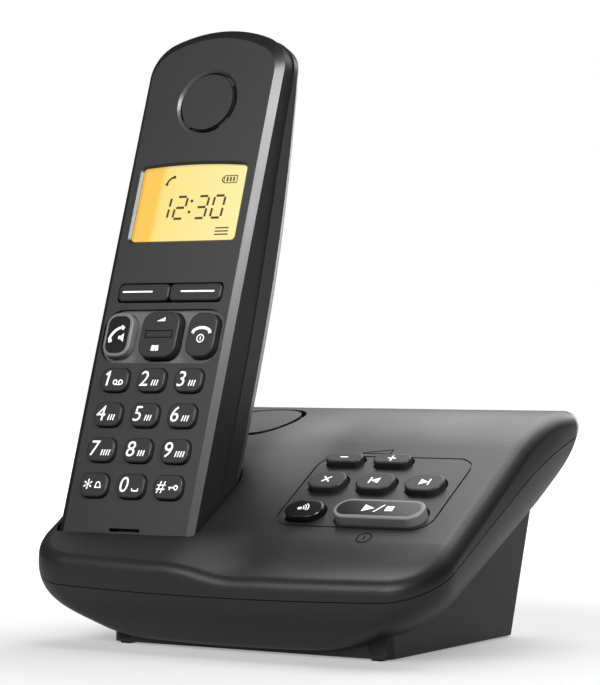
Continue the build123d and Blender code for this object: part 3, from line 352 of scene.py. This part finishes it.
# -------------------------------------------------------------- inside of the base
# Loudspeaker under the ring, glass-epoxy board and silicone key mat under the buttons.
def laminate_board(name, colour, track):
    """Solder-masked circuit board with tracks of the given pitch in mm showing through."""
    material, tree = new_material(name)
    place = add_node(tree, "TexCoord", {})
    copper = add_node(
        tree,
        "TexBrick",
        {
            "Scale": 1000 / track,
            "Mortar Size": 0.09,
            "Color1": linear(colour),
            "Color2": linear("#1f5a35"),
            "Mortar": linear("#3d8a55"),
        },
        Vector=place.outputs["Object"],
    )
    relief = add_node(
        tree, "Bump", {"Strength": 0.4, "Distance": 0.00003}, Height=copper.outputs["Fac"]
    )
    skin = add_node(
        tree,
        "BsdfPrincipled",
        {"Roughness": 0.28, "IOR": 1.55},
        Base_Color=copper.outputs["Color"],
        Normal=relief.outputs[0],
    )
    add_node(tree, "OutputMaterial", {}, Surface=skin.outputs[0])
    return material


# glossy green mask over etched copper
board_laminate = laminate_board("epoxy_glass_green_mask", "#174a2b", 3.2)
finish_nodes(board_laminate, "base_circuit_board", "handset_circuit_board")

# translucent grey silicone, soft and matte
mat_silicone = moulded_plastic("silicone_grey_moulded", "#5b5d60", 0.6, 0.9, 0.02)
finish_nodes(mat_silicone, "base_key_mat", "handset_key_mat")

# pressed black paper and lacquered magnet cover
cone_paper = moulded_plastic("paper_pulp_black_pressed", "#121213", 0.7, 0.4, 0.05)
finish_nodes(cone_paper, "loudspeaker", "earpiece", "microphone", "charge_holder")

# ------------------------------------------------------------------ base buttons
# Moulded caps with a satin skin that stand through chamfered holes in the panel; the
# paging and play caps are glossy, and play sits in a painted grey rim.
cap_satin = moulded_plastic("silicone_charcoal_satin", "#202021", 0.42, 0.7, 0.012, 1.4)
finish_nodes(
    cap_satin, "button_minus", "button_plus", "button_delete", "button_back", "button_forward"
)

# polished tool: deep black with a soft highlight and a trace of orange peel
cap_gloss = moulded_plastic("abs_black_high_gloss", "#0b0b0c", 0.24, 6.0, 0.004, 1.45)
finish_nodes(cap_gloss, "button_paging", "button_play")

# fine metallic lacquer over ABS: mid grey with a soft edge light
rim_lacquer = moulded_plastic("lacquer_metallic_grey", "#5e5e5e", 0.45, 0.35, 0.01)
finish_nodes(rim_lacquer, "play_rim")

# pad-printed legends: opaque white ink, a little raised
legend_ink = moulded_plastic("pad_print_ink_white", "#f4f4f2", 0.5, 0.3, 0.003)

panel_slope = 31
panel = Matrix.Translation((0, -25.3, 35.13)) @ Matrix.Rotation(radians(panel_slope), 4, "X")


def bar(bm, start, end, width):
    """A straight printed line."""
    run = Vector(end) - Vector(start)
    middle = (Vector(start) + Vector(end)) / 2
    turn = Matrix.Translation((*middle, 0)) @ Matrix.Rotation(atan2(run.y, run.x), 4, "Z")
    shape = turn @ Matrix.Diagonal((run.length, width, 1, 1))
    bmesh.ops.create_grid(bm, x_segments=1, y_segments=1, size=0.5, matrix=shape)


def bow(bm, centre, radius, width, start, sweep):
    """A printed line round part of a circle, angles in degrees from +X."""
    a = radians(start)
    rim = [
        bm.verts.new((centre[0] + r * cos(a), centre[1] + r * sin(a), 0))
        for r in (radius - width / 2, radius + width / 2)
    ]
    edge = bm.edges.new(rim)
    bmesh.ops.spin(
        bm,
        geom=rim + [edge],
        cent=(*centre, 0),
        axis=(0, 0, 1),
        angle=radians(sweep),
        steps=max(4, round(abs(sweep) / 12)),
        use_merge=abs(sweep) == 360,
    )


def wedge(bm, tip, length, height):
    """A printed triangle with its tip at one side; a negative length points it left."""
    turn = Matrix.Translation((tip[0] - length * 2 / 3, tip[1], 0))
    shape = turn @ Matrix.Diagonal((length / 1.5, height / 3**0.5, 1, 1))
    bmesh.ops.create_circle(
        bm, cap_ends=True, segments=3, radius=1, matrix=shape @ Matrix.Rotation(-pi / 2, 4, "Z")
    )


def disc(bm, centre, radius):
    """A printed dot."""
    place = Matrix.Translation((*centre, 0))
    bmesh.ops.create_circle(bm, cap_ends=True, segments=24, radius=radius, matrix=place)


def print_mark(name, bm, spot, proud, surface, body, material=legend_ink):
    """Gives a flat mark the thickness of its ink and lays it on a surface."""
    ink, sunk = 0.03, 0.005
    raised = bmesh.ops.extrude_face_region(bm, geom=bm.faces[:])["geom"]
    verts = [v for v in raised if isinstance(v, bmesh.types.BMVert)]
    bmesh.ops.translate(bm, vec=(0, 0, ink), verts=verts)
    place = surface @ Matrix.Translation((*spot, proud - sunk))
    return place_piece(name, bm, place, body, material)


button_top, play_top = 1.65, 2.4
column, row = (13.4, 28.7, 44.0), (28.8, 17.7, 3.4)

bm = bmesh.new()
bar(bm, (-1.2, 0), (1.2, 0), 0.42)
print_mark("legend_minus", bm, (column[0], row[0]), button_top, panel, "button_minus")

bm = bmesh.new()
bar(bm, (-1.25, 0), (1.25, 0), 0.4)
bar(bm, (0, -1.25), (0, 1.25), 0.4)
print_mark("legend_plus", bm, (column[1], row[0]), button_top, panel, "button_plus")

bm = bmesh.new()
bar(bm, (-1.15, -1.2), (1.15, 1.2), 0.42)
bar(bm, (-1.15, 1.2), (1.15, -1.2), 0.42)
print_mark("legend_delete", bm, (column[0], row[1]), button_top, panel, "button_delete")

for side, name, x in ((-1, "back", column[1]), (1, "forward", column[2])):
    bm = bmesh.new()
    wedge(bm, (side * 1.2, 0), side * 2.5, 2.7)
    bar(bm, (side * 1.5, -1.4), (side * 1.5, 1.4), 0.45)
    print_mark(f"legend_{name}", bm, (x, row[1]), button_top, panel, f"button_{name}")

bm = bmesh.new()
disc(bm, (-1.2, -0.2), 0.62)
for k in range(3):
    bow(bm, (-1.3, -0.3), 1.35 + 0.7 * k, 0.24, -14, 72)
print_mark("legend_paging", bm, (column[0], row[2]), button_top, panel, "button_paging")

bm = bmesh.new()
wedge(bm, (-1.3, 0), 3.4, 3.2)
bar(bm, (-0.9, -1.7), (1.2, 1.7), 0.4)
bar(bm, (2.2, 0), (4.5, 0), 2.2)
print_mark("legend_play", bm, (37.0, row[2]), play_top, panel, "play_button")

# Shallow symbols engraved in the panel by the mould: the volume wedge over the two
# upper buttons and the lamp ring under the play button. They are drawn as near-black
# strips flush with the panel, painted shade standing in for the grooves.
# near-black colour: painted shade of the grooves' floors and walls
groove_shade = moulded_plastic("painted_groove_shade_black", "#070707", 0.7, 0.5, 0.01, 1.2)
bm = bmesh.new()
bar(bm, (-4.6, -0.9), (4.4, 1.0), 0.4)
bar(bm, (-4.6, -1.1), (4.4, -1.1), 0.4)
bar(bm, (4.4, -1.3), (4.4, 1.2), 0.4)
print_mark("groove_shade_volume", bm, (21.2, 34.4), 0, panel, "base", groove_shade)
bm = bmesh.new()
bow(bm, (0, 0), 2.1, 0.42, 0, 360)
bar(bm, (0, -0.9), (0, 0.9), 0.42)
print_mark("groove_shade_lamp", bm, (36.9, -7.0), 0, panel, "base", groove_shade)

# ------------------------------------------------------------------------ cradle
# Two sprung charging pins in the floor of the cradle and the pads they touch under
# the handset, all flashed with gold.
finish_nodes(contact_gold, "charge_pin_left", "charge_pin_right", "charge_pads")

# --------------------------------------------------------------- handset housing
# Front and rear ABS shells, finer textured than the base, closed by two screws from
# behind; the cover behind the cells snaps off backwards.
handset_abs = moulded_plastic("abs_charcoal_fine_texture", "#161617", 0.4, 0.45, 0.018)
finish_nodes(handset_abs, "handset_front_shell", "handset_rear_shell", "battery_cover")

# Two rechargeable cells in plain shrink sleeves, held between nickel-plated contacts.
sleeve = moulded_plastic("shrink_sleeve_green", "#2f6b4c", 0.25, 3.0, 0.01)
finish_nodes(sleeve, "battery_cells")
nickel = plated_metal("nickel_plated_spring_steel", "#c4c0b6", 0.22, 0.3)
finish_nodes(nickel, "battery_contacts")

face_origin, face_tilt = (-37.2, -36.3, 30.7), radians(90 - 18.9)
face = Matrix.Translation(face_origin) @ Matrix.Rotation(face_tilt, 4, "X")

# Woven nylon mesh pressed as a steep cone against the outer wall of the groove round
# the earpiece, over its sound slots.
mesh_nylon = moulded_plastic("nylon_mesh_black_woven", "#39393a", 0.4, 0.35, 0.03)
bm = bmesh.new()
profile = [(9.5, -0.86), (10.36, -0.04), (10.36, -0.3), (9.75, -0.86)]
ring = [bm.verts.new((radius, 0, height)) for radius, height in profile]
edges = [bm.edges.new((ring[k], ring[(k + 1) % 4])) for k in range(4)]
bmesh.ops.spin(
    bm,
    geom=ring + edges,
    cent=(0, 0, 0),
    axis=(0, 0, 1),
    angle=2 * pi,
    steps=72,
    use_merge=True,
)
ear = face @ Matrix.Translation((0, 130, 0))
place_piece("ear_mesh_ring", bm, ear, "handset", mesh_nylon)

# ----------------------------------------------------------------------- display
# Amber backlit LCD behind a clear acrylic window; the glow is a deeper orange towards
# the left edge.
lcd, tree = new_material("lcd_amber_backlit")
place = add_node(tree, "TexCoord", {})
on_face = add_node(
    tree,
    "Mapping",
    {
        "vector_type": "TEXTURE",
        "Location": [c / 1000 for c in face_origin],
        "Rotation": (face_tilt, 0, 0),
    },
    Vector=place.outputs["Object"],
)
across = add_node(tree, "SeparateXYZ", {}, Vector=on_face.outputs[0])
slant = add_node(
    tree, "Math", {"operation": "MULTIPLY_ADD", 1: -0.03, 2: 0.0}, i0=across.outputs["Y"]
)
side = add_node(tree, "Math", {"operation": "ADD"}, i0=across.outputs["X"], i1=slant.outputs[0])
spread = add_node(
    tree, "MapRange", {"From Min": -0.0205, "From Max": 0.0148}, Value=side.outputs[0]
)
amber = add_node(tree, "ValToRGB", {}, Fac=spread.outputs[0])
stops = amber.color_ramp.elements
stops[0].position, stops[0].color = 0.13, linear("#ffc95c")
stops[1].position, stops[1].color = 1.0, linear("#fff0ac")
middle = stops.new(0.19)
middle.color = linear("#ffe28c")
cells = add_node(tree, "TexNoise", {"Scale": 1000 / 0.6}, Vector=place.outputs["Object"])
mottle = add_node(tree, "MapRange", {"To Min": 1.06, "To Max": 1.1}, Value=cells.outputs["Fac"])
glass = add_node(tree, "NewGeometry", {})
light = add_node(
    tree,
    "BsdfPrincipled",
    {"Roughness": 0.5, "Base Color": linear("#14110a"), "Specular IOR Level": 0.1},
    Emission_Color=amber.outputs[0],
    Emission_Strength=mottle.outputs[0],
    Normal=glass.outputs["True Normal"],
)
add_node(tree, "OutputMaterial", {}, Surface=light.outputs[0])
finish_nodes(lcd, "display_module")

# the front polariser, a thin sheet laid on the module's glass
bm = bmesh.new()
sheet = Matrix.Translation((0, 98.7, 0)) @ Matrix.Diagonal((36.4, 24.4, 0.04, 1))
bmesh.ops.create_cube(bm, size=1, matrix=sheet)
front = face @ Matrix.Translation((0, 0, -2.37))
place_piece("lcd_polariser", bm, front, "handset", lcd)

# cast acrylic, polished: clear, with thin bright edges
acrylic, tree = new_material("acrylic_clear_polished")
clear = add_node(tree, "BsdfTransparent", {"Color": linear("#fffdf8")})
glass = add_node(tree, "NewGeometry", {})
shine = add_node(
    tree, "BsdfGlossy", {"Roughness": 0.05}, Normal=glass.outputs["True Normal"]
)
facing = add_node(tree, "Fresnel", {"IOR": 1.49}, Normal=glass.outputs["True Normal"])
pane = add_node(
    tree, "MixShader", {}, Fac=facing.outputs[0], i1=clear.outputs[0], i2=shine.outputs[0]
)
add_node(tree, "OutputMaterial", {}, Surface=pane.outputs[0])
finish_nodes(acrylic, "display_window")

# dark segments of the liquid crystal, just over its glass
segment = moulded_plastic("liquid_crystal_dark", "#3a2c12", 0.5, 0.5, 0.001)
segment_depth = -2.32  # 0.03 over the sheet


def seven_segments(bm, corner, size, lit, lean):
    """One digit of the display from its lower left corner; lit names its segments."""
    w, h, gap, thick = size[0], size[1] / 2, size[0] * 0.12, size[0] * 0.2
    ends = {
        "a": ((gap, 2 * h), (w - gap, 2 * h)),
        "b": ((w, 2 * h - gap), (w, h + gap)),
        "c": ((w, h - gap), (w, gap)),
        "d": ((gap, 0), (w - gap, 0)),
        "e": ((0, h - gap), (0, gap)),
        "f": ((0, 2 * h - gap), (0, h + gap)),
        "g": ((gap, h), (w - gap, h)),
    }
    for name in lit:
        start, end = [
            (corner[0] + x + lean * y, corner[1] + y) for x, y in ends[name]
        ]
        bar(bm, start, end, thick)


digit_segments = {"1": "bc", "2": "abged", "3": "abgcd", "0": "abcdef"}
time_left, time_foot, digit_lean = -11.6, 94.4, 0.08
digit_pitch, colon_room, colon_offset = 5.6, 1.8, 10.9
bm = bmesh.new()
for k, digit in enumerate("1230"):
    x = time_left + digit_pitch * k + (colon_room if k > 1 else 0)
    seven_segments(bm, (x, time_foot), (3.6, 6.8), digit_segments[digit], digit_lean)
for y in (96.4, 99.8):
    disc(bm, (time_left + colon_offset + digit_lean * (y - time_foot), y), 0.48)
print_mark("lcd_time", bm, (0, 0), segment_depth, face, "handset", segment)

bm = bmesh.new()
bow(bm, (-7.6, 104.9), 2.6, 0.65, 95, 75)
disc(bm, (-10.15, 105.3), 0.5)
disc(bm, (-7.9, 107.5), 0.5)
print_mark("lcd_receiver", bm, (0, 0), segment_depth, face, "handset", segment)

bm = bmesh.new()
for y in (105.1, 107.3):
    bar(bm, (9.6, y), (14.0, y), 0.28)
for x in (9.6, 14.0):
    bar(bm, (x, 105.1), (x, 107.3), 0.28)
bow(bm, (9.6, 106.2), 0.7, 0.35, 90, 180)
for x in (10.7, 11.8, 12.9):
    bar(bm, (x, 105.5), (x, 106.9), 0.6)
print_mark("lcd_battery", bm, (0, 0), segment_depth, face, "handset", segment)

bm = bmesh.new()
for y in (89.2, 90.2, 91.2):
    bar(bm, (9.6, y), (14.2, y), 0.4)
print_mark("lcd_menu", bm, (0, 0), segment_depth, face, "handset", segment)

# ------------------------------------------------------------------- call keys
# A painted grey plate frames the talk key, the rocker and the end key.
plate_lacquer = moulded_plastic("lacquer_metallic_grey_fine", "#525252", 0.42, 0.35, 0.008)
finish_nodes(plate_lacquer, "nav_plate")
finish_nodes(rim_lacquer, "talk_rim")
finish_nodes(cap_gloss, "key_talk")
key_satin = moulded_plastic("silicone_hardcoat_charcoal", "#1f1f20", 0.42, 0.6, 0.008, 1.4)
finish_nodes(key_satin, "key_end", "key_nav", "key_left_soft", "key_right_soft")

call_row, call_top, rocker_top = 57.6, 1.5, 1.7
bm = bmesh.new()
bow(bm, (2.1, -2.6), 4.9, 0.8, 103, 64)
bar(bm, (-2.8, -2.0), (-1.7, -1.7), 1.0)
bar(bm, (0.8, 2.5), (1.9, 1.7), 1.0)
bar(bm, (0.4, -0.9), (1.1, -0.9), 1.0)
wedge(bm, (0.6, -0.9), -1.6, 2.6)
print_mark("legend_talk", bm, (-14.3, call_row), call_top, face, "talk_key")

bm = bmesh.new()
bow(bm, (0, -3.0), 4.7, 0.85, 52, 76)
bar(bm, (-3.2, 0.75), (-2.3, 0.35), 1.1)
bar(bm, (2.3, 0.35), (3.2, 0.75), 1.1)
bow(bm, (0, -1.5), 1.1, 0.32, 0, 360)
bar(bm, (0, -2.0), (0, -1.0), 0.32)
print_mark("legend_end", bm, (14.3, call_row + 0.3), call_top, face, "key_end")

bm = bmesh.new()
wedge(bm, (-1.4, 0), -2.8, 1.2)
rising = Matrix.Identity(4)
rising[1][0] = 1.2 / 2 / 2.8  # flat underside, rising to the right
bmesh.ops.transform(bm, matrix=rising, verts=bm.verts)
print_mark("legend_volume", bm, (0, call_row + 4.2), rocker_top, face, "key_nav")
bm = bmesh.new()
bar(bm, (-1.2, 0), (-0.1, -0.1), 1.6)
bar(bm, (0.1, -0.1), (1.2, 0), 1.6)
print_mark("legend_book", bm, (-0.4, call_row - 4.1), rocker_top, face, "key_nav")

for name, x, length in (("left", -8.9 - 2.0, 10.4), ("right", 8.9 + 0.8, 11.4)):
    bm = bmesh.new()
    bar(bm, (-length / 2, 0), (length / 2, 0), 0.48)
    print_mark(f"legend_{name}_soft", bm, (x, 70.9), 0.6, face, f"key_{name}_soft")

# ------------------------------------------------------------------ number keys
# Twelve hard-coated silicone caps with slanted white figures; small plain strokes
# stand beside the figures.
key_rows = ("star 0 hash", "7 8 9", "4 5 6", "1 2 3")
key_pitch_across, key_pitch_up, first_row, key_top = 12.6, 10.4, 13.0, 1.3
number_spots = {}
for k, names in enumerate(key_rows):
    for m, name in enumerate(names.split()):
        number_spots[name] = (key_pitch_across * (m - 1), first_row + key_pitch_up * k)
finish_nodes(key_satin, *[f"key_{name}" for name in number_spots])


def figure(name, text, spot, size, body):
    """A slanted figure in white ink on a handset key."""
    curve = bpy.data.curves.new(name, "FONT")
    curve.body, curve.size, curve.shear = text, size, 0.12
    curve.extrude = 0.015
    curve.align_x, curve.align_y = "CENTER", "CENTER"
    curve.resolution_u = 3
    outline = bpy.data.objects.new(name + "_outline", curve)
    bpy.context.scene.collection.objects.link(outline)
    bm = bmesh.new()
    bm.from_mesh(outline.to_mesh())
    outline.to_mesh_clear()
    bpy.data.objects.remove(outline)
    bmesh.ops.remove_doubles(bm, verts=bm.verts, dist=0.0001)
    place = face @ Matrix.Translation((*spot, key_top + 0.01))
    place_piece(name, bm, place, body, legend_ink)


figure_left = 2.3
strokes = {"2": 3, "3": 3, "4": 3, "5": 3, "6": 3, "7": 4, "8": 3, "9": 4}
for name, (x, y) in number_spots.items():
    text = {"star": "*", "hash": "#"}.get(name, name)
    body = f"key_{name}"
    size, drop = {"star": (6.8, -1.3), "hash": (4.9, 0.0)}.get(name, (6.4, 0.0))
    figure(f"legend_{name}", text, (x - figure_left, y + drop), size, body)
    bm = bmesh.new()
    if name == "1":  # the figure's flag, and a pair of tape reels
        bar(bm, (-2.0, 2.05), (-2.95, 1.3), 0.5)
        for side in (-0.95, 0.95):
            bow(bm, (1.5 + side, -0.9), 0.62, 0.36, 0, 360)
        bar(bm, (0.5, -1.6), (2.5, -1.6), 0.34)
    elif name == "star":  # a bell
        bow(bm, (1.6, 0.1), 0.68, 0.32, 0, 180)
        bar(bm, (0.92, 0.1), (0.7, -0.75), 0.32)
        bar(bm, (2.28, 0.1), (2.5, -0.75), 0.32)
        bar(bm, (0.5, -0.85), (2.7, -0.85), 0.32)
    elif name == "0":  # a space
        bar(bm, (0.8, -1.5), (2.8, -1.5), 0.36)
        bar(bm, (0.8, -1.5), (0.8, -0.8), 0.36)
        bar(bm, (2.8, -1.5), (2.8, -0.8), 0.36)
    elif name == "hash":  # a door key
        bow(bm, (2.8, -0.2), 0.58, 0.38, 0, 360)
        bar(bm, (0.4, -0.2), (2.2, -0.2), 0.38)
        bar(bm, (0.8, -0.2), (0.8, -0.9), 0.38)
    else:
        for k in range(strokes[name]):
            x0 = 0.5 + 0.85 * k
            bar(bm, (x0, -1.8), (x0 + 0.4, -0.1), 0.36)
    print_mark(f"legend_{name}_small", bm, (x, y), key_top, face, body)
